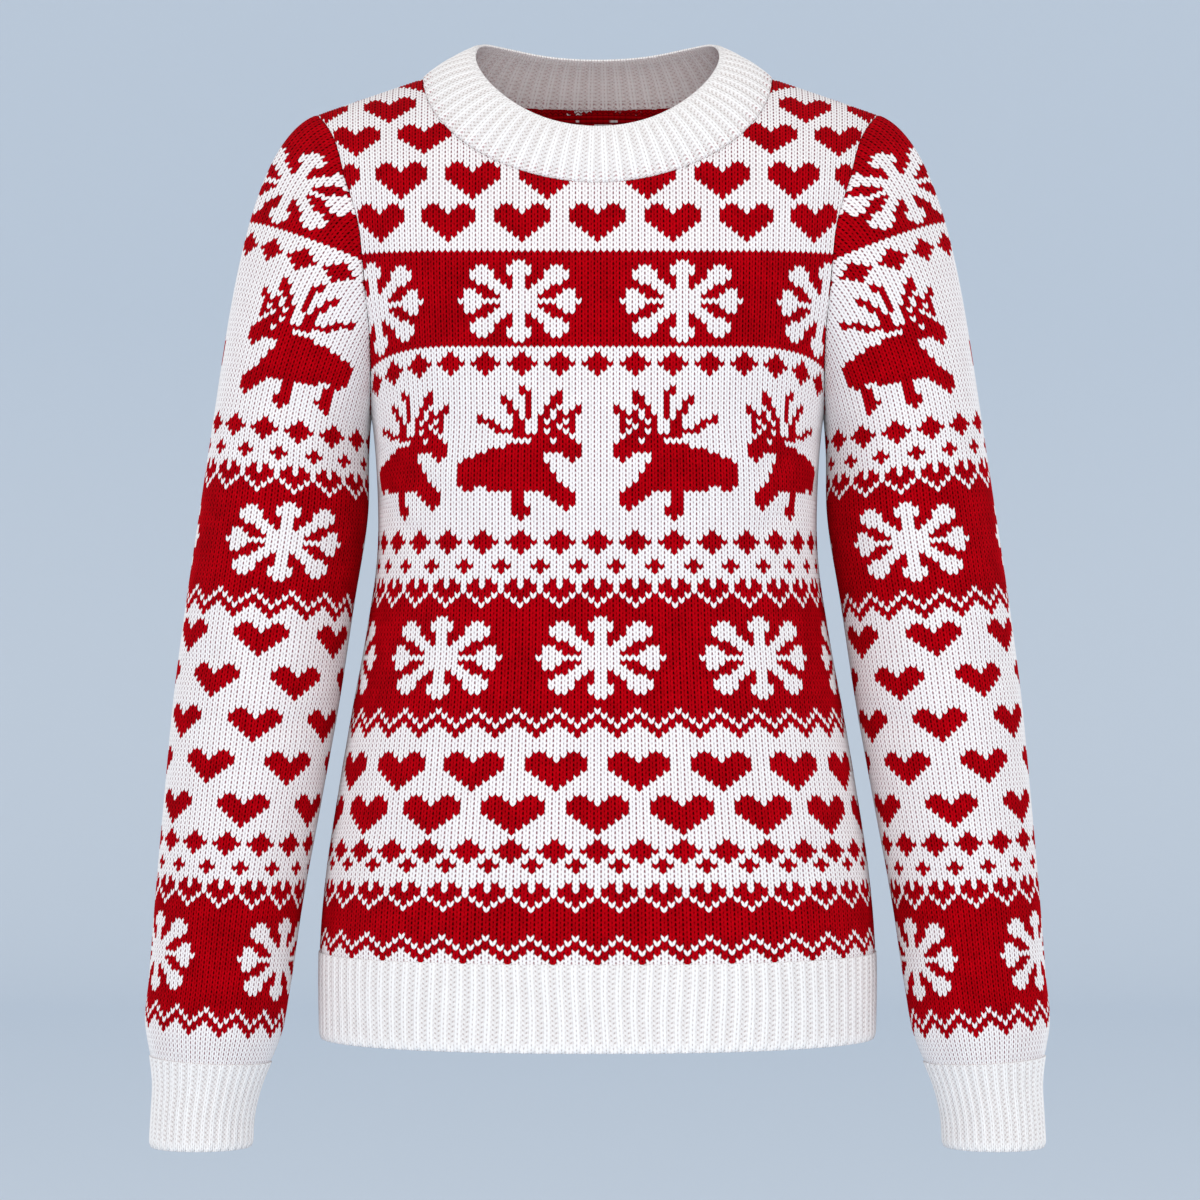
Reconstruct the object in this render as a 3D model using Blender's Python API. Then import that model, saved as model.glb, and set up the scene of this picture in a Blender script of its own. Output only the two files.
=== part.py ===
"""A women's crew-neck Christmas sweater, filled out as when worn. Metres, +Z up, front towards -Y.

The origin is where the wearer's shoulders hold it up, midway between the two points where the shoulder
seams meet the neckband. Every piece is a knitted wall laid through sections of the worn garment.
Left and right are the wearer's, so the left sleeve is at +X.
"""

import math
from collections import namedtuple

import bpy
import numpy as np

WALL = 0.0020  # plain knitted cloth
RIB_WALL = 0.0018  # ribbed cloth under its raised ribs
RIB_HEIGHT = 0.0009  # how far a rib stands out of the ribbed cloth
SEAM = 0.0003  # left between pieces that are linked or sewn together

HEM_HEIGHT = -0.6030  # bottom edge of the hem band
HEM_BAND_TOP = -0.5490
UNDERARM_HEIGHT = -0.2080
SHOULDER_TIP_HEIGHT = -0.0225
NECK_HALF_WIDTH = 0.1093  # from the centre to where a shoulder seam meets the neckband
SHOULDER_SLOPE = 0.340  # fall of the shoulder seam for each metre outwards
SHOULDER_ROUNDING = 0.055  # height over which the cloth turns down from the shoulder seam

Ring = namedtuple("Ring", "height half_width front_depth back_depth squareness")
# Level sections of the torso. Above the underarm they run on under the sleeve, where the armhole cuts them.
TORSO = (
    Ring(-0.605, 0.1742, 0.1170, 0.1120, 2.20),
    Ring(-0.549, 0.1744, 0.1165, 0.1115, 2.20),
    Ring(-0.500, 0.1704, 0.1145, 0.1095, 2.15),
    Ring(-0.450, 0.1629, 0.1115, 0.1050, 2.10),
    Ring(-0.400, 0.1544, 0.1085, 0.0980, 2.10),
    Ring(-0.350, 0.1452, 0.1065, 0.0910, 2.10),
    Ring(-0.300, 0.1382, 0.1070, 0.0875, 2.10),
    Ring(-0.255, 0.1382, 0.1095, 0.0885, 2.15),
    Ring(-0.208, 0.1427, 0.1095, 0.0930, 2.20),
    Ring(-0.165, 0.1535, 0.1080, 0.0980, 2.25),
    Ring(-0.130, 0.1640, 0.1040, 0.0995, 2.30),
    Ring(-0.100, 0.1715, 0.0965, 0.0975, 2.30),
    Ring(-0.070, 0.1770, 0.0855, 0.0915, 2.30),
    Ring(-0.040, 0.1800, 0.0680, 0.0810, 2.30),
    Ring(0.002, 0.1820, 0.0480, 0.0610, 2.30),
)

Side = namedtuple("Side", "name sign armhole_reach neckline_drop neckline_squareness neck_ribs")
FRONT = Side("front", -1, 0.0580, 0.0711, 1.90, 38)
BACK = Side("back", 1, 0.0560, 0.0130, 2.30, 30)
ARMHOLE_POINT = 1.5  # above its widest, the armhole narrows as this power of an oval

HALF_PANEL_COLUMNS = 10
SIDE_SEAM_ROWS = 9
ARMHOLE_ROWS = 10  # the sleeve head has as many columns on each side, so that the two edges match
SHOULDER_ROWS = 3

Section = namedtuple("Section", "height outer inner tilt half_depth middle_y")
# Sections of the left sleeve: its outer and inner edge from the front, and the tilt of a knitted row in
# degrees, higher on the outside.
SLEEVE = (
    Section(-0.2320, 0.2425, 0.1443, 11.0, 0.0540, -0.0010),
    Section(-0.2652, 0.2480, 0.1446, 6.5, 0.0535, -0.0020),
    Section(-0.3282, 0.2576, 0.1535, 3.5, 0.0520, -0.0050),
    Section(-0.3912, 0.2658, 0.1628, 2.5, 0.0500, -0.0080),
    Section(-0.4542, 0.2716, 0.1740, 2.0, 0.0480, -0.0110),
    Section(-0.5172, 0.2769, 0.1855, 3.0, 0.0455, -0.0140),
    Section(-0.5676, 0.2806, 0.1931, 4.5, 0.0440, -0.0160),
    Section(-0.5980, 0.2828, 0.1988, 4.5, 0.0425, -0.0170),
    Section(-0.6150, 0.2798, 0.2050, 3.0, 0.0390, -0.0175),
    Section(-0.6306, 0.2780, 0.2109, 2.0, 0.0360, -0.0180),
    Section(-0.6495, 0.2788, 0.2155, 1.0, 0.0345, -0.0185),
    Section(-0.6700, 0.2800, 0.2168, 0.0, 0.0345, -0.0190),
)
CUFF_TOP = -0.6150
CUFF_BOTTOM = -0.6700
SLEEVE_HEAD_ROWS = 8
SLEEVE_ROWS = 11
CUFF_RIBS = 36
CUFF_ROWS = 2

Leave = namedtuple("Leave", "turn outwards forwards upwards pull_from_armhole pull_down_sleeve")
# How the sleeve head leaves the armhole, by the turn round the sleeve in degrees from its outer edge.
SLEEVE_HEAD = (
    Leave(0, 0.95, 0.00, -0.32, 0.140, 0.205),
    Leave(45, 0.90, 0.16, -0.45, 0.105, 0.180),
    Leave(90, 0.78, 0.12, -0.62, 0.085, 0.130),
    Leave(135, 0.40, 0.05, -0.92, 0.055, 0.070),
    Leave(180, 0.03, 0.00, -1.00, 0.025, 0.025),
)

HEM_RIBS = 52  # on each of the front and the back
HEM_ROWS = 2

NeckRim = namedtuple("NeckRim", "y height")
# Top edge of the neckband from the side, from the throat to the nape.
NECK_RIM = (
    NeckRim(-0.0780, -0.0357),
    NeckRim(-0.0550, -0.0134),
    NeckRim(-0.0300, 0.0060),
    NeckRim(0.0000, 0.0215),
    NeckRim(0.0250, 0.0215),
    NeckRim(0.0450, 0.0165),
)
NECK_RIM_HALF_WIDTH = 0.0765
NECKBAND_BULGE = 0.0030
NECKBAND_ROWS = 2

RED = (0.54, 0.003, 0.012, 1.0)
WHITE = (0.86, 0.84, 0.85, 1.0)
YARN_ROUGHNESS = 0.9

LEVEL_POINTS = 121
EDGE_POINTS = 400
NORMAL_STEP = 0.0005


def clear_scene():
    for thing in list(bpy.data.objects):
        bpy.data.objects.remove(thing, do_unlink=True)


def smooth(places, values, at):
    """A smooth curve through the values, read at other places."""
    places = np.asarray(places, float)
    values = np.asarray(values, float)
    slopes = np.gradient(values, places)
    at = np.clip(at, places[0], places[-1])
    low = np.clip(np.searchsorted(places, at, side="right") - 1, 0, len(places) - 2)
    span = places[low + 1] - places[low]
    t = (at - places[low]) / span
    start = (1 + 2 * t) * (1 - t) ** 2 * values[low] + t * (1 - t) ** 2 * span * slopes[low]
    return start + t * t * (3 - 2 * t) * values[low + 1] + t * t * (t - 1) * span * slopes[low + 1]


def column(table, name):
    return [getattr(row, name) for row in table]


def torso(name, height):
    return smooth(column(TORSO, "height"), column(TORSO, name), height)


def steps_along(points):
    """The distance from the first point to each point of a line."""
    steps = np.linalg.norm(np.diff(points, axis=0), axis=1)
    return np.concatenate([[0.0], np.cumsum(steps)])


def spread(points, shares):
    """Points of a line at the given shares of its length."""
    along = steps_along(points)
    wanted = np.asarray(shares) * along[-1]
    return np.stack([np.interp(wanted, along, points[:, k]) for k in range(points.shape[1])], axis=1)


# ---------------------------------------------------------------- torso


def ridge(x):
    """Height of the shoulder seam, and of its line drawn on inwards over the neck."""
    return -SHOULDER_SLOPE * (np.abs(x) - NECK_HALF_WIDTH)


def widest(height):
    return min(torso("half_width", height), NECK_HALF_WIDTH - height / SHOULDER_SLOPE)


def reach(side, x, height):
    """How far the cloth stands in front of the shoulder seam's plane, or behind it."""
    squareness = torso("squareness", height)
    across = np.clip(np.abs(x) / torso("half_width", height), 0, 1)
    round_body = torso(side.name + "_depth", height) * (1 - across**squareness) ** (1 / squareness)
    below_seam = np.clip((ridge(x) - height) / SHOULDER_ROUNDING, 0, 1)
    return round_body * np.sqrt(1 - (1 - below_seam) ** 2)


def level(side, height):
    """One level line of the cloth, from the centre to the side: x, reach and distance along it."""
    x = widest(height) * np.sin(np.linspace(0, math.pi / 2, LEVEL_POINTS))
    out = reach(side, x, height)
    out[-1] = 0.0
    return x, out, steps_along(np.stack([x, out], axis=1))


def on_cloth(side, along, height):
    """The point of the cloth at a distance from the centre line along one level."""
    x, out, distance = level(side, height)
    return np.array([np.interp(along, distance, x), side.sign * np.interp(along, distance, out), height])


def cloth_normal(side, x, height):
    """The outward direction of the cloth at one point of the front or back view."""
    height = min(height, ridge(x) - NORMAL_STEP)
    across = reach(side, x + NORMAL_STEP, height) - reach(side, x - NORMAL_STEP, height)
    upward = reach(side, x, height + NORMAL_STEP) - reach(side, x, height - NORMAL_STEP)
    normal = np.array([-across, side.sign * 2 * NORMAL_STEP, -upward])
    return normal / np.linalg.norm(normal)


def armhole(side):
    """The armhole edge of one panel on the wearer's left, from the shoulder tip to the underarm."""
    middle = (SHOULDER_TIP_HEIGHT + UNDERARM_HEIGHT) / 2
    half_height = (SHOULDER_TIP_HEIGHT - UNDERARM_HEIGHT) / 2
    points = []
    for turn in np.linspace(0, math.pi, EDGE_POINTS):
        height = middle + half_height * math.cos(turn)
        power = ARMHOLE_POINT if turn < math.pi / 2 else 1.0
        out = side.armhole_reach * math.sin(turn) ** power
        x, outs, _ = level(side, height)
        points.append([np.interp(out, outs[::-1], x[::-1]), side.sign * out, height])
    return spread(np.array(points), np.linspace(0, 1, ARMHOLE_ROWS + 1))


def neckline(side):
    """The neck edge of one panel, from its centre to the wearer's left shoulder seam."""
    turn = np.linspace(0, math.pi / 2, EDGE_POINTS)
    power = 2 / side.neckline_squareness
    x = NECK_HALF_WIDTH * np.sin(turn) ** power
    height = -side.neckline_drop * np.clip(np.cos(turn), 0, 1) ** power
    points = np.array([[xi, side.sign * reach(side, xi, zi), zi] for xi, zi in zip(x, height)])
    return spread(points, np.linspace(0, 1, HALF_PANEL_COLUMNS + 1))


def cloth_place(side, point):
    """Where a point lies on the cloth, as its distance from the centre line and its height."""
    x, _, distance = level(side, point[2])
    return np.array([np.interp(point[0], x, distance), point[2]])


def panel_edge(side):
    """Places down one side of a panel, from the hem band up the side, the armhole and the shoulder."""
    side_heights = np.linspace(HEM_BAND_TOP + SEAM / 2, UNDERARM_HEIGHT, SIDE_SEAM_ROWS + 1)
    places = [[level(side, height)[2][-1], height] for height in side_heights]
    places += [cloth_place(side, point) for point in armhole(side)[-2:0:-1]]
    for height in np.linspace(SHOULDER_TIP_HEIGHT, 0, SHOULDER_ROWS + 1):
        places.append([level(side, height)[2][-1], height])
    return np.array(places)


def half_panel(side):
    """Half of a panel as rows of points, level up to the underarm and then bent to the neckline."""
    edge = panel_edge(side)
    neck = [cloth_place(side, point) for point in neckline(side)]
    upper = np.clip((np.arange(len(edge)) - SIDE_SEAM_ROWS) / (len(edge) - 1 - SIDE_SEAM_ROWS), 0, 1)
    centre = np.where(upper > 0, UNDERARM_HEIGHT + upper * (neck[0][1] - UNDERARM_HEIGHT), edge[:, 1])
    grid = np.empty((HALF_PANEL_COLUMNS + 1, len(edge), 3))
    for i in range(HALF_PANEL_COLUMNS + 1):
        share = i / HALF_PANEL_COLUMNS
        for j, (edge_along, edge_height) in enumerate(edge):
            bend = upper[j] ** 2
            along = share * edge_along + bend * (neck[i][0] - share * neck[-1][0])
            straight = centre[-1] + share * (edge[-1, 1] - centre[-1])
            height = centre[j] + share * (edge_height - centre[j]) + bend * (neck[i][1] - straight)
            grid[i, j] = on_cloth(side, along, height)
    return grid


def whole_panel(side):
    half = half_panel(side)
    mirrored = half[:0:-1] * [-1, 1, 1]
    return np.concatenate([mirrored, half])


def in_seam_plane(points):
    return np.abs(points[..., 1]) < SEAM


def outwards(grid, closed=False):
    """Unit normals of a grid of points, on the side that faces away from the garment's hollow."""
    padded = np.concatenate([grid[-2:-1], grid, grid[1:2]]) if closed else grid
    around = np.gradient(padded, axis=0)
    if closed:
        around = around[1:-1]
    normal = np.cross(around, np.gradient(grid, axis=1))
    return normal / np.linalg.norm(normal, axis=-1, keepdims=True)


def panel(side):
    outer = whole_panel(side)
    normal = outwards(outer) * -side.sign
    seams = in_seam_plane(outer)
    normal[seams, 1] = 0.0
    normal /= np.linalg.norm(normal, axis=-1, keepdims=True)
    inner = outer - WALL * normal
    for points in (outer, inner):
        points[..., 1] = side.sign * np.maximum(side.sign * points[..., 1], SEAM / 2)
    make_wall(side.name + "_panel", outer, inner, False, RED)


def hem_band(side):
    """The ribbed band under one panel, each rib raised out of a plain inside."""
    heights = np.linspace(HEM_BAND_TOP - SEAM / 2, HEM_HEIGHT, HEM_ROWS + 1)
    rows = []
    for height in heights:
        x, out, distance = level(side, height)
        at = np.linspace(0, distance[-1], HEM_RIBS + 1)
        half = np.stack([np.interp(at, distance, x), np.interp(at, distance, out)], axis=1)
        whole = np.concatenate([half[:0:-1] * [-1, 1], half])
        rows.append([[px, side.sign * py, height] for px, py in whole])
    outer = np.array(rows).transpose(1, 0, 2)
    normal = outwards(outer) * side.sign
    normal[in_seam_plane(outer), 1] = 0.0
    normal /= np.linalg.norm(normal, axis=-1, keepdims=True)
    inner = outer - RIB_WALL * normal
    outer[1::2] += RIB_HEIGHT * normal[1::2]
    for points in (outer, inner):
        points[..., 1] = side.sign * np.maximum(side.sign * points[..., 1], SEAM / 2)
    make_wall("hem_band_" + side.name, outer, inner, False, WHITE)


# ---------------------------------------------------------------- sleeves


def sleeve_value(name, height):
    heights = column(SLEEVE, "height")[::-1]
    return smooth(heights, column(SLEEVE, name)[::-1], height)


def sleeve_ring(height, turns):
    """A section of the left sleeve. The turn goes from the outer edge by the front to the inner edge."""
    outer = sleeve_value("outer", height)
    inner = sleeve_value("inner", height)
    half_width = (outer - inner) / 2
    rise = math.tan(math.radians(sleeve_value("tilt", height)))
    x = (outer + inner) / 2 + half_width * np.cos(turns)
    y = sleeve_value("middle_y", height) - sleeve_value("half_depth", height) * np.sin(turns)
    return np.stack([x, y, height + rise * half_width * np.cos(turns)], axis=1)


def leave_armhole(name, folded_turn):
    return smooth(column(SLEEVE_HEAD, "turn"), column(SLEEVE_HEAD, name), folded_turn)


def sleeve_head(turns):
    """The rows of the sleeve head, from the armhole down to the first whole ring of the sleeve."""
    top = SLEEVE[0].height
    end = sleeve_ring(top, turns)
    down = sleeve_ring(top - WALL, turns) - end
    down /= np.linalg.norm(down, axis=1, keepdims=True)
    edge = np.concatenate([armhole(FRONT), armhole(BACK)[-2::-1]])
    rows = np.empty((len(turns), SLEEVE_HEAD_ROWS + 1, 3))
    for i, turn in enumerate(turns):
        sign = FRONT.sign if turn <= math.pi else BACK.sign
        folded = math.degrees(min(turn, 2 * math.pi - turn))
        outward, forward, upward = (leave_armhole(name, folded) for name in Leave._fields[1:4])
        pull_out = leave_armhole("pull_from_armhole", folded)
        pull_down = leave_armhole("pull_down_sleeve", folded)
        direction = np.array([outward, sign * forward, upward])
        direction /= np.linalg.norm(direction)
        start = edge[i] + SEAM * direction
        for j, t in enumerate(np.linspace(0, 1, SLEEVE_HEAD_ROWS + 1)):
            from_armhole = (1 + 2 * t) * (1 - t) ** 2 * start + t * (1 - t) ** 2 * pull_out * direction
            rows[i, j] = from_armhole + t * t * (3 - 2 * t) * end[i] + t * t * (t - 1) * pull_down * down[i]
    return rows


def left_sleeve():
    turns = np.linspace(0, 2 * math.pi, 2 * ARMHOLE_ROWS + 1)
    head = sleeve_head(turns)
    heights = np.linspace(SLEEVE[0].height, CUFF_TOP + SEAM / 2, SLEEVE_ROWS + 1)
    arm = np.stack([sleeve_ring(height, turns) for height in heights[1:]], axis=1)
    outer = np.concatenate([head, arm], axis=1)
    return outer, outer - WALL * outwards(outer, closed=True)


def left_cuff():
    turns = np.linspace(0, 2 * math.pi, 2 * CUFF_RIBS + 1)
    heights = np.linspace(CUFF_TOP - SEAM / 2, CUFF_BOTTOM, CUFF_ROWS + 1)
    outer = np.stack([sleeve_ring(height, turns) for height in heights], axis=1)
    normal = outwards(outer, closed=True)
    inner = outer - RIB_WALL * normal
    outer[1::2] += RIB_HEIGHT * normal[1::2]
    return outer, inner


def on_both_arms(name, walls, colour):
    outer, inner = walls
    make_wall(name + "_left", outer, inner, True, colour)
    make_wall(name + "_right", outer * [-1, 1, 1], inner * [-1, 1, 1], True, colour)


# ---------------------------------------------------------------- neckband


def neck_rim(side):
    """A quarter of the neckband's top edge, from the centre to the wearer's left."""
    throat, nape = NECK_RIM[0].y, NECK_RIM[-1].y
    middle = (throat + nape) / 2
    turn = np.linspace(0, math.pi / 2, EDGE_POINTS)
    x = NECK_RIM_HALF_WIDTH * np.sin(turn)
    y = middle + side.sign * (nape - middle) * np.cos(turn)
    return np.stack([x, y, smooth(column(NECK_RIM, "y"), column(NECK_RIM, "height"), y)], axis=1)


def all_round(front_half, back_half):
    """A closed line from the throat past the wearer's left to the nape and back, first point repeated."""
    left = np.concatenate([front_half, back_half[-2::-1]])
    return np.concatenate([left, left[-2::-1] * [-1, 1, 1]])


def neck_line(line_of):
    quarters = [spread(line_of(side), np.linspace(0, 1, side.neck_ribs + 1)) for side in (FRONT, BACK)]
    return all_round(*quarters)


def neckband():
    low, high = neck_line(neckline), neck_line(neck_rim)
    at_seam = [cloth_normal(FRONT if y < 0 else BACK, x, z) for x, y, z in low]
    up = (high - low) / np.linalg.norm(high - low, axis=1, keepdims=True)
    low = low + SEAM * up
    shares = np.linspace(0, 1, NECKBAND_ROWS + 1)
    plain = np.stack([low + share * (high - low) for share in shares], axis=1)
    bulge = NECKBAND_BULGE * 4 * shares * (1 - shares)
    plain += bulge[:, None] * outwards(plain, closed=True)
    normal = outwards(plain, closed=True)
    normal[:, 0] = at_seam
    outer = plain.copy()
    outer[1::2] += RIB_HEIGHT * normal[1::2]
    make_wall("neckband", outer, plain - RIB_WALL * normal, True, WHITE)


# ---------------------------------------------------------------- building


def material(name, colour):
    made = bpy.data.materials.new(name)
    made.use_nodes = True
    shader = made.node_tree.nodes["Principled BSDF"]
    shader.inputs["Base Color"].default_value = colour
    shader.inputs["Roughness"].default_value = YARN_ROUGHNESS
    shader.inputs["Metallic"].default_value = 0.0
    return made


def make_wall(name, outer, inner, closed, colour):
    """One piece of cloth: its outer and inner points, joined round their edges into a closed wall."""
    if closed:
        outer, inner = outer[:-1], inner[:-1]
    columns, rows = outer.shape[:2]
    points = np.concatenate([outer.reshape(-1, 3), inner.reshape(-1, 3)])
    inside = columns * rows

    def at(i, j):
        return (i % columns) * rows + j

    faces = []
    for i in range(columns if closed else columns - 1):
        for j in range(rows - 1):
            quad = [at(i, j), at(i + 1, j), at(i + 1, j + 1), at(i, j + 1)]
            faces.append(quad)
            faces.append([inside + k for k in reversed(quad)])
        for j, flip in ((0, False), (rows - 1, True)):
            rim = [at(i, j), inside + at(i, j), inside + at(i + 1, j), at(i + 1, j)]
            faces.append(rim[::-1] if flip else rim)
    if not closed:
        for i, flip in ((0, True), (columns - 1, False)):
            for j in range(rows - 1):
                rim = [at(i, j), inside + at(i, j), inside + at(i, j + 1), at(i, j + 1)]
                faces.append(rim[::-1] if flip else rim)
    mesh = bpy.data.meshes.new(name)
    mesh.from_pydata(points.tolist(), [], faces)
    mesh.materials.append(material(name, colour))
    if signed_volume(mesh) < 0:
        mesh.flip_normals()
    bpy.data.collections["christmas_sweater"].objects.link(bpy.data.objects.new(name, mesh))


def signed_volume(mesh):
    mesh.calc_loop_triangles()
    triangles = mesh.loop_triangles
    corners = np.array([[mesh.vertices[k].co for k in triangle.vertices] for triangle in triangles])
    return np.linalg.det(corners).sum()


def main():
    clear_scene()
    bpy.context.scene.collection.children.link(bpy.data.collections.new("christmas_sweater"))
    for side in (FRONT, BACK):
        panel(side)
        hem_band(side)
    on_both_arms("sleeve", left_sleeve(), RED)
    on_both_arms("cuff", left_cuff(), WHITE)
    neckband()


main()
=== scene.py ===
import math
from collections import namedtuple
from functools import partialmethod

import bpy
import numpy as np
import mathutils
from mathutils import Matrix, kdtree


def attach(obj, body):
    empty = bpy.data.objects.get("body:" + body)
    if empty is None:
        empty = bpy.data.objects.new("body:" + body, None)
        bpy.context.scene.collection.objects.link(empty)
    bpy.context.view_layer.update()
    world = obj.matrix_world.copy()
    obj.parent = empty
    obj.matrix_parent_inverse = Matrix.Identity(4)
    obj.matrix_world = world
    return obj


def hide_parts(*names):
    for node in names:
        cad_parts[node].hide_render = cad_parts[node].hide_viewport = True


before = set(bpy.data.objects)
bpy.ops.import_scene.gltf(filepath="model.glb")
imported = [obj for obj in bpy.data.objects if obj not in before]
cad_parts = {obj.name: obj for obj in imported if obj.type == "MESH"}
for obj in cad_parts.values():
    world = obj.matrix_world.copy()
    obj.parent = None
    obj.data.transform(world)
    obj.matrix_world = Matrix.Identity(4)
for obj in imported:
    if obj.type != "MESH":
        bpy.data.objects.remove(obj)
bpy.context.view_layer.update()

# -------- the worn form, in metres

WALL = 0.0020
RIB_WALL = 0.0018
RIB_HEIGHT = 0.0009
SEAM = 0.0001  # between pieces that are linked or sewn together, drawn closer than they are built
HEM_HEIGHT = -0.6030
HEM_BAND_TOP = -0.5490
UNDERARM_HEIGHT = -0.2080
SHOULDER_TIP_HEIGHT = -0.0225
NECK_HALF_WIDTH = 0.1093
SHOULDER_SLOPE = 0.340
SHOULDER_ROUNDING = 0.055
TOP_HEIGHT = 0.002

Ring = namedtuple("Ring", "height half_width front_depth back_depth squareness")
TORSO = (
    Ring(-0.605, 0.1742, 0.1170, 0.1120, 2.20),
    Ring(-0.549, 0.1744, 0.1165, 0.1115, 2.20),
    Ring(-0.500, 0.1704, 0.1145, 0.1095, 2.15),
    Ring(-0.450, 0.1629, 0.1115, 0.1050, 2.10),
    Ring(-0.400, 0.1544, 0.1085, 0.0980, 2.10),
    Ring(-0.350, 0.1452, 0.1065, 0.0910, 2.10),
    Ring(-0.300, 0.1382, 0.1070, 0.0875, 2.10),
    Ring(-0.255, 0.1382, 0.1095, 0.0885, 2.15),
    Ring(-0.208, 0.1427, 0.1095, 0.0930, 2.20),
    Ring(-0.165, 0.1535, 0.1080, 0.0980, 2.25),
    Ring(-0.130, 0.1640, 0.1040, 0.0995, 2.30),
    Ring(-0.100, 0.1715, 0.0965, 0.0975, 2.30),
    Ring(-0.070, 0.1770, 0.0855, 0.0915, 2.30),
    Ring(-0.040, 0.1800, 0.0680, 0.0810, 2.30),
    Ring(0.002, 0.1820, 0.0480, 0.0610, 2.30),
)

Side = namedtuple("Side", "name sign armhole_reach neckline_drop neckline_squareness neck_ribs")
FRONT = Side("front", -1, 0.0580, 0.0711, 1.90, 38)
BACK = Side("back", 1, 0.0560, 0.0130, 2.30, 30)
ARMHOLE_POINT = 1.5

Section = namedtuple("Section", "height outer inner tilt half_depth middle_y")
SLEEVE = (
    Section(-0.6700, 0.2800, 0.2168, 0.0, 0.0345, -0.0190),
    Section(-0.6495, 0.2788, 0.2155, 1.0, 0.0345, -0.0185),
    Section(-0.6306, 0.2780, 0.2109, 2.0, 0.0360, -0.0180),
    Section(-0.6150, 0.2798, 0.2050, 3.0, 0.0390, -0.0175),
    Section(-0.5980, 0.2828, 0.1988, 4.5, 0.0425, -0.0170),
    Section(-0.5676, 0.2806, 0.1931, 4.5, 0.0440, -0.0160),
    Section(-0.5172, 0.2769, 0.1855, 3.0, 0.0455, -0.0140),
    Section(-0.4542, 0.2716, 0.1740, 2.0, 0.0480, -0.0110),
    Section(-0.3912, 0.2658, 0.1628, 2.5, 0.0500, -0.0080),
    Section(-0.3282, 0.2576, 0.1535, 3.5, 0.0520, -0.0050),
    Section(-0.2652, 0.2480, 0.1446, 6.5, 0.0535, -0.0020),
    Section(-0.2320, 0.2425, 0.1443, 11.0, 0.0540, -0.0010),
)
CUFF_TOP = -0.6150
CUFF_BOTTOM = -0.6700

Leave = namedtuple("Leave", "turn outwards forwards upwards pull_from_armhole pull_down_sleeve")
SLEEVE_HEAD = (
    Leave(0, 0.95, 0.00, -0.32, 0.140, 0.205),
    Leave(45, 0.90, 0.16, -0.45, 0.105, 0.180),
    Leave(90, 0.78, 0.12, -0.62, 0.085, 0.130),
    Leave(135, 0.40, 0.05, -0.92, 0.055, 0.070),
    Leave(180, 0.03, 0.00, -1.00, 0.025, 0.025),
)

NeckRim = namedtuple("NeckRim", "y height")
NECK_RIM = (
    NeckRim(-0.0780, -0.0357),
    NeckRim(-0.0550, -0.0134),
    NeckRim(-0.0300, 0.0060),
    NeckRim(0.0000, 0.0215),
    NeckRim(0.0250, 0.0215),
    NeckRim(0.0450, 0.0165),
)
NECK_RIM_HALF_WIDTH = 0.0765
NECKBAND_BULGE = 0.0030

# -------- the knit

ROW = 0.00294  # height of a row of stitches
BODY_COLUMNS = 105  # stitches across the front, and across the back
SLEEVE_COLUMNS = 84  # stitches round a sleeve
QUADS = 4  # faces across a stitch, two for each leg
LEANS = (0.38, -0.04, -0.36, -0.04)  # rows that each quarter is lifted: V shapes, highest where two meet
LEG_HEIGHT = 0.00045  # how far a leg rises above the gaps beside it
SEAM_ROLL = 0.0002  # how far a linked edge rolls in
SEAM_ROLL_WIDTH = 0.0022
CREASE_FADE = 0.012  # from a seam, the way over which the creases reach their full depth
LEAST_ROW = 0.02  # nearer than this to the first or last row, a point lies on the edge
SLEEVE_MAP_RADIUS = 0.05  # of the tube that the sleeve's flat map unrolls
EYE_HEIGHT = -0.2967  # from where the sweater is seen
EYE_DISTANCE = 3.3
HEM_RIBS = 52
CUFF_RIBS = 36
RIB_QUADS = 8
FREE_END_ROLL = 0.0009  # how far the free end of a rib rounds off
FREE_END_ROLL_ROWS = 0.4
FREE_END_FILL = 0.9  # of the height of a rib, to which its furrows fill up at the free end
FREE_END_FILL_ROWS = 1.1
RIB_WANDER = 0.004  # of the hem's half width, how far its ribs stray from straight
NECKBAND_TURN = 0.25  # of its height, over which the neckband turns away from the panels


def hermite(t, start, end, start_pull, end_pull):
    """A smooth way from start to end, with t from 0 to 1. The pulls are its slopes at both."""
    way = (1 + 2 * t) * (1 - t) ** 2 * start + t * (1 - t) ** 2 * start_pull
    return way + t * t * (3 - 2 * t) * end + t * t * (t - 1) * end_pull


def column(table, name):
    return np.array([getattr(row, name) for row in table], float)


def smooth(table, name, at, by="height"):
    """Values of a table, read from a smooth curve through its rows."""
    places, values = column(table, by), column(table, name)
    slopes = np.gradient(values, places)
    at = np.clip(at, places[0], places[-1])
    low = np.clip(np.searchsorted(places, at, side="right") - 1, 0, len(places) - 2)
    span = places[low + 1] - places[low]
    t = (at - places[low]) / span
    return hermite(t, values[low], values[low + 1], span * slopes[low], span * slopes[low + 1])


def torso(name, height):
    return smooth(TORSO, name, height)


def steps_along(points):
    steps = np.linalg.norm(np.diff(points, axis=0), axis=1)
    return np.concatenate([[0.0], np.cumsum(steps)])


def together(*values):
    """Points or pairs from their coordinates."""
    return np.stack(np.broadcast_arrays(*values), axis=-1)


def spread(points, shares):
    """Points on a line, at shares of its length."""
    along = steps_along(points)
    return together(*(np.interp(shares * along[-1], along, values) for values in points.T))


def unit(vectors):
    return vectors / np.maximum(np.linalg.norm(vectors, axis=-1, keepdims=True), 1e-12)


def ridge(x):
    return -SHOULDER_SLOPE * (np.abs(x) - NECK_HALF_WIDTH)


def round_body(side, x, height):
    squareness = torso("squareness", height)
    across = np.clip(np.abs(x) / torso("half_width", height), 0, 1)
    return torso(side.name + "_depth", height) * (1 - across**squareness) ** (1 / squareness)


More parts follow.
